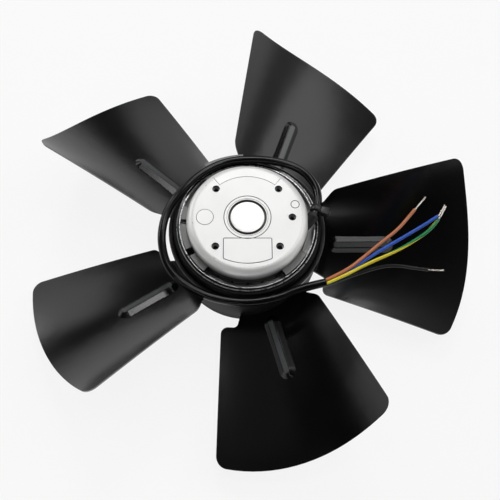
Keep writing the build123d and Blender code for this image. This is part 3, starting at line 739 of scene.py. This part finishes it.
def enamelled_wire():
    """Layers of varnished copper wire."""
    finish = Finish("enamelled_copper_wire", {"Metallic": 0.6})
    _, _, z = finish.place()
    wires = finish.distance().wave(wire_pitch) * z.wave(wire_pitch)
    varnish = finish.noise(220.0)
    finish.feed("Base Color", finish.mix(varnish, (0.50, 0.17, 0.05), (0.34, 0.10, 0.03)))
    finish.feed("Roughness", 0.25 + 0.2 * varnish)
    finish.relief(wires * 0.5 + 0.5, 0.00012)
    return finish


def moulded_plastic(name, colour, roughness, grain=1400.0, depth=0.00001, gloss=0.5):
    """Plastic or rubber with a grain, given in patches per metre and in metres of depth."""
    finish = Finish(name, {"Specular IOR Level": gloss})
    cloud = finish.noise(80.0)
    dark = tuple(0.82 * channel for channel in colour)
    finish.feed("Base Color", finish.mix(cloud, colour, dark))
    finish.feed("Roughness", roughness + 0.1 * (cloud - 0.5))
    finish.relief(finish.noise(grain, 2.0), depth)
    return finish


insulator_plastic = moulded_plastic("insulator_plastic", (0.75, 0.72, 0.62), 0.45)
insides = {
    "stator_core": laminations("stator_laminations"),
    "rotor_core": laminations("rotor_laminations"),
    "stator_winding": enamelled_wire(),
    "insulator_upper": insulator_plastic,
    "insulator_lower": insulator_plastic,
    "thermal_protector": moulded_plastic("protector_case", (0.05, 0.05, 0.055), 0.4),
}
for name, finish in insides.items():
    wear(nodes[name], finish)
print("inside finished:", ", ".join(insides))

# %% [markdown]
# ## The cable
# A round cable with a soft black sheath. The sheath is extruded, so its skin is nearly smooth, with
# a very fine grain, and it shows long narrow lamps as thin bright lines. A curve with a round bevel
# is the shape it really has, and its length is the real length of the route.

# %% Cable
sheath_skin = moulded_plastic("black_cable_sheath", (0.004, 0.004, 0.0045), 0.15, 900.0, 0.000006, 0.3)
cable = route_curve("cable", cable_route, cable_diameter)
wear(cable, sheath_skin)
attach(cable, "stator")
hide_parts("cable_sheath")

# %% [markdown]
# ## Four cores and their bare ends
# The cores are insulated in brown, blue, green and yellow, and black. Three are plain tubes. On the
# green and yellow one each colour keeps to its own side, and the boundary winds about four fifths
# of a turn on its way. The bare ends are stranded: six fine tinned wires laid round a seventh. All
# of them follow points read from their route's spline.

# %% Core skins
core_colours = {
    "brown": (0.66, 0.23, 0.10),
    "blue": (0.04, 0.14, 0.68),
    "yellow": (0.95, 0.78, 0.03),
    "green": (0.004, 0.27, 0.08),
}
core_grain = 1200.0
core_grain_depth = 0.000006
core_skins = {}
for name, colour in core_colours.items():
    core_skins[name] = moulded_plastic(f"{name}_core_skin", colour, 0.34, core_grain, core_grain_depth)
black_skin = moulded_plastic(
    "black_core_skin", (0.006, 0.006, 0.007), 0.28, core_grain, core_grain_depth, 0.35
)
core_skins["black"] = black_skin


def tinned_copper():
    """Tin over copper, with patches where the tin is thin."""
    finish = Finish("tinned_copper", {"Metallic": 1.0})
    patch = finish.noise(900.0, 2.0).rise(0.45, 0.75)
    finish.feed("Base Color", finish.mix(patch * 0.5, (0.80, 0.77, 0.73), (0.72, 0.46, 0.32)))
    finish.feed("Roughness", 0.24 + 0.2 * patch)
    finish.relief(patch, 0.000006)
    return finish


strand_metal = tinned_copper()
print("core skins:", ", ".join(core_skins))

# %% Cores and strands
ring_steps = 20
colour_turns = 0.79
green_first = 3
green_last = 11
strands_round = 6
strand_steps = 8
strand_diameter = bare_diameter / 3
lay_length = 0.009


def strand_bundle(name, route):
    """Six fine wires laid round a seventh, along a route."""
    line = spline_line(name, route)
    turns = line_length(line) / lay_length
    frames = frames_along(line)
    vertices = []
    faces = []
    for strand in range(strands_round + 1):
        offset = 0.0 if strand == strands_round else strand_diameter
        path = []
        for index, (place, side, across) in enumerate(frames):
            angle = 2 * pi * (strand / strands_round + turns * index / (len(frames) - 1))
            path.append(place + (side * cos(angle) + across * sin(angle)) * offset)
        faces += tube_faces(len(path), strand_steps, len(vertices))
        vertices += tube_rings(path, strand_diameter / 2, strand_steps)
    return new_piece(name, vertices, faces)


def insulated_core(colour, line):
    """A core's insulation along a line, in one colour or in two that wind round it."""
    name = f"insulated_core_{colour}"
    if colour != "green_yellow":
        core = tube_piece(name, line, core_diameter / 2, ring_steps)
        wear(core, core_skins[colour])
        return core
    core = tube_piece(name, line, core_diameter / 2, ring_steps, colour_turns)
    wear(core, core_skins["yellow"], core_skins["green"])
    for face in core.data.polygons:
        face.material_index = int(green_first <= face.index % ring_steps <= green_last)
    return core


for colour, route in core_routes.items():
    line = spline_line(f"core_{colour}_line", route)
    core = insulated_core(colour, line)
    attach(core, "stator")
    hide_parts(f"core_{colour}")
    bare = strand_bundle(f"bare_strands_{colour}", route[-1:] + bare_ends[colour])
    wear(bare, strand_metal)
    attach(bare, "stator")
    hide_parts(f"bare_end_{colour}")
    route_points(route)[0]
    print(colour, "core:", f"{1000 * line_length(line):.1f} mm along its spline")

route_points(cable_route)[0]

# %% [markdown]
# ## Grommet and cable tie
# A soft rubber grommet guards the cable where it passes the flange's wall, and a cable tie just
# outside it keeps a pull from reaching the joints inside. Both sit round the cable's own line. The
# grommet and the tie's strap are lathe shapes. The tie's head and its short tail are small blocks
# with rounded edges.

# %% Grommet
cable_radius = cable_diameter / 2
squeeze = 0.0002
grip_radius = cable_radius - squeeze
sleeve_radius = 0.0035
collar_radius = 0.0039
sleeve_end = 0.0076
grommet_end = 0.0098
first_point, second_point, third_point = route_points(cable_route[:3])
exit_way = (second_point - first_point).normalized()


def lathe(name, profile, place, way, steps=48):
    """A closed profile of (along, radius) points turned round a line."""
    side = Vector((0, 0, 1))
    side = (side - way * side.dot(way)).normalized()
    across = way.cross(side)
    vertices = []
    for along, radius in profile:
        for step in range(steps):
            angle = 2 * pi * step / steps
            vertices.append(place + way * along + (side * cos(angle) + across * sin(angle)) * radius)
    faces = []
    count = len(profile)
    for row in range(count):
        for step in range(steps):
            beside = (step + 1) % steps
            low = row * steps
            high = ((row + 1) % count) * steps
            faces.append((low + step, low + beside, high + beside, high + step))
    return new_piece(name, vertices, faces)


grommet_profile = [
    (0.0, grip_radius),
    (0.0, sleeve_radius),
    (sleeve_end, sleeve_radius),
    (sleeve_end + 0.0001, collar_radius - 0.0002),
    (sleeve_end + 0.0004, collar_radius),
    (grommet_end - 0.0006, collar_radius),
    (grommet_end - 0.0002, collar_radius - 0.0002),
    (grommet_end, collar_radius - 0.0006),
    (grommet_end, grip_radius),
]
grommet = lathe("rubber_grommet", grommet_profile, first_point, exit_way)
wear(grommet, moulded_plastic("grommet_rubber", (0.008, 0.008, 0.008), 0.50, 700.0, 0.00002))
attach(grommet, "stator")
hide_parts("cable_grommet")
print("grommet:", f"{1000 * grommet_end:.1f} mm long, its collar {1000 * 2 * collar_radius:.1f} mm across")

# %% Cable tie
tie_share = 0.47
strap_thickness = 0.0011
tie_way = (third_point - second_point).normalized()
tie_middle = second_point.lerp(third_point, tie_share)
strap_outer = cable_radius + strap_thickness
strap_half = 0.0021
strap_bevel = 0.0003
strap_profile = [
    (-strap_half, grip_radius),
    (-strap_half, strap_outer - strap_bevel),
    (-strap_half + strap_bevel, strap_outer),
    (strap_half - strap_bevel, strap_outer),
    (strap_half, strap_outer - strap_bevel),
    (strap_half, grip_radius),
]
head_size = Vector((0.0054, 0.0052, 0.0050))
head_rounding = 0.0006
tail_size = Vector((0.0020, 0.0012, 0.0030))
tail_rounding = 0.0003
tail_shift = 0.0029


def moulded_block(name, size, middle, forward, along, rounding):
    """A block with rounded edges, turned to two directions."""
    shape = bmesh.new()
    bmesh.ops.create_cube(shape, size=1.0)
    bmesh.ops.scale(shape, vec=size, verts=shape.verts)
    bmesh.ops.bevel(shape, geom=shape.edges[:], offset=rounding, segments=3, affect="EDGES", profile=0.5)
    up = forward.cross(along).normalized()
    turn = Matrix((forward, up, along)).transposed().to_4x4()
    shape.transform(Matrix.Translation(middle) @ turn)
    mesh = bpy.data.meshes.new(name)
    shape.to_mesh(mesh)
    shape.free()
    mesh.shade_smooth()
    piece = bpy.data.objects.new(name, mesh)
    bpy.context.scene.collection.objects.link(piece)
    return piece


head_way = tie_way.cross(Vector((0, 0, 1))).normalized()
head_middle = tie_middle + head_way * (cable_radius + head_size.x / 2)
tail_middle = head_middle + head_way * tail_shift
strap = lathe("cable_tie_strap", strap_profile, tie_middle, tie_way)
head = moulded_block("cable_tie_head", head_size, head_middle, head_way, tie_way, head_rounding)
tail = moulded_block("cable_tie_tail", tail_size, tail_middle, head_way, tie_way, tail_rounding)
nylon = moulded_plastic("black_nylon", (0.010, 0.010, 0.011), 0.36, 1500.0, 0.00001)
for piece in (strap, head, tail):
    wear(piece, nylon)
    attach(piece, "stator")
    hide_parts("cable_tie")
print("the tie stands at", [round(1000 * part, 1) for part in tie_middle], "mm")

# %% [markdown]
# ## Threads in the screw holes
# The five blind holes are tapped M4. The solid model has plain bores, so a thin ridge is wound
# down each wall. Its aluminium is much darker than the flange's, as painted shade inside the holes.
# Only its crests catch the light, and that is what makes a small dark hole look tapped.

# %% Threads
hole_circle = 0.0285
hole_angles = [45, 135, 225, 315, 0]
thread_radius = 0.00199
thread_height = 0.00028
thread_pitch = 0.0007
thread_top = -0.0007
thread_turns = 5.5
turn_steps = 28
flank = 0.25


def thread_piece(name, places):
    """One ridge per hole, wound down its wall, that grows and fades within one turn."""
    vertices = []
    faces = []
    count = int(thread_turns * turn_steps)
    for middle in places:
        start = len(vertices)
        for step in range(count):
            angle = 2 * pi * step / turn_steps
            down = thread_top - thread_pitch * step / turn_steps
            grow = min(1.0, step / turn_steps, (count - 1 - step) / turn_steps)
            crest = thread_radius - thread_height * grow
            for radius, shift in ((thread_radius, flank), (crest, 0.0), (thread_radius, -flank)):
                turned = Vector((radius * cos(angle), radius * sin(angle), down + shift * thread_pitch))
                vertices.append(middle + turned)
        for step in range(count - 1):
            low = start + 3 * step
            faces.append((low, low + 1, low + 4, low + 3))
            faces.append((low + 1, low + 2, low + 5, low + 4))
            faces.append((low + 2, low, low + 3, low + 5))
    return new_piece(name, vertices, faces, smooth=False)


hole_places = [on_circle(angle, hole_circle, 0.0) for angle in hole_angles]
threads = thread_piece("screw_hole_threads", hole_places)
# The threads' aluminium is far darker than the flange's: painted shade inside the holes.
wear(threads, cast_aluminium("shaded_tapped_aluminium", 0.30, 0.35))
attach(threads, "stator")
print("threads:", len(hole_places), "holes")

# %% [markdown]
# ## Floor
# The fan lies on a white sheet of paper. Lamps that turned it white in the picture would burn out
# the silver flange, so they stay at a plain level. The paper makes up for it with its own plain
# white, in a share that only the camera, mirrors and glass see. The rest of it is lit, and so it
# keeps the fan's shadow. The plain view transform leaves colours as they are written.

# %% Floor
floor_radius = 6.0
floor_sides = 96
floor_gap = 0.0002
paper_white = (0.92, 0.92, 0.92, 1.0)
own_white = 0.86

floor_mesh = bmesh.new()
bmesh.ops.create_circle(floor_mesh, cap_ends=True, segments=floor_sides, radius=floor_radius)
floor_data = bpy.data.meshes.new("floor")
floor_mesh.to_mesh(floor_data)
floor_mesh.free()
floor = bpy.data.objects.new("floor", floor_data)
floor.location.z = cad_low.z - floor_gap
bpy.context.scene.collection.objects.link(floor)
floor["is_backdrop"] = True

paper = Finish("white_paper", {"Base Color": paper_white, "Roughness": 0.9})
glow = paper.node("ShaderNodeEmission", inputs={"Strength": 1.0})
seen = paper.any_ray("Is Camera Ray", "Is Glossy Ray", "Is Transmission Ray")
lit = Signal(paper, paper.shader.outputs[0])
whitened = paper.node("ShaderNodeMixShader", inputs={0: seen * own_white, 1: lit, 2: glow})
paper.tree.links.new(whitened.socket, paper.out.inputs[0])
wear(floor, paper)
bpy.context.scene.view_settings.view_transform = "Standard"
print("floor at", f"{1000 * floor.location.z:.1f} mm")

# %% [markdown]
# ## Sky
# Black paint shows little but its surroundings, so the sky is drawn for the blades: almost black
# overhead, a pale band along the horizon and a soft rise towards the right. This is what separates
# one blade from the next. The direction of a ray gives the sky its brightness, and no picture of
# a room is needed.

# %% Sky
night = 0.006
right_glow = 0.34
band_glow = 0.70
band_fade = (0.06, 0.22)
right_fade = (0.05, 0.95)

world = bpy.data.worlds.new("studio")
world.use_nodes = True
bpy.context.scene.world = world
sky = Bench(world.node_tree)
right, _, up = sky.parts(sky.node("ShaderNodeTexCoord"))
band = 1 - up.rise(*band_fade)
brightness = night + right_glow * right.rise(*right_fade) + band_glow * band
backdrop = world.node_tree.nodes["Background"]
backdrop.inputs["Color"].default_value = (1.0, 1.0, 1.0, 1.0)
sky.join(brightness, backdrop.inputs["Strength"])
print("sky: from", night, "overhead to", night + band_glow, "at the left horizon")

# %% [markdown]
# ## Lamps
# Each lamp stands where a part of the fan mirrors it. The large softboxes lay broad sheen on the
# blades, the key lamp lights the flange, two small lamps high up put glints on edges and rims, and
# three narrow strips draw thin lines along the cable. A lamp is given by how bright its face is,
# which is what a mirror shows, and its power follows from its size. They all stand equally far off.

# %% Lamps
lamp_distance = 1.6


def lamp(name, bearing, height, width, depth, radiance):
    """A flat lamp that faces the fan, placed by its bearing and height in degrees."""
    data = bpy.data.lights.new(name, "AREA")
    data.shape = "RECTANGLE"
    data.size = width
    data.size_y = depth
    data.energy = radiance * pi * width * depth
    level = cos(radians(height))
    way = Vector((level * cos(radians(bearing)), level * sin(radians(bearing)), sin(radians(height))))
    light = bpy.data.objects.new(name, data)
    light.location = way * lamp_distance
    light.rotation_mode = "QUATERNION"
    light.rotation_quaternion = way.to_track_quat("Z", "Y")
    bpy.context.scene.collection.objects.link(light)
    print(name, "at", [round(part, 2) for part in light.location], "m,", f"{data.energy:.1f} W")


lamp("right_softbox", 15, 42, 0.9, 0.9, 1.7)
lamp("low_back_softbox", 81, 38, 0.7, 0.7, 1.3)
lamp("left_back_softbox", 132, 34, 0.55, 0.65, 1.5)
lamp("left_softbox", 170, 60, 0.9, 0.9, 0.12)
lamp("high_right_softbox", 25, 65, 0.9, 0.9, 0.35)
lamp("key_lamp", 92, 55, 0.45, 0.45, 6.8)
lamp("top_right_lamp", 32, 77, 0.22, 0.22, 12.0)
lamp("top_left_lamp", 145, 80, 0.22, 0.22, 9.0)
lamp("left_strip", 150, 25, 0.6, 0.09, 24.0)
lamp("front_left_strip", 222, 36, 0.8, 0.05, 11.0)
lamp("front_strip", 250, 36, 0.8, 0.03, 9.0)

# %% [markdown]
# ## Size against the solid model
# The dressed fan should stay as large as its solid model, so its box is set against the solid model's box
# and the growth is printed.

# %% Finish
seen_low, seen_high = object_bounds()
growth = (seen_high - seen_low) - (cad_high - cad_low)
print("growth over the solid model, mm:", [round(1000 * side, 2) for side in growth])
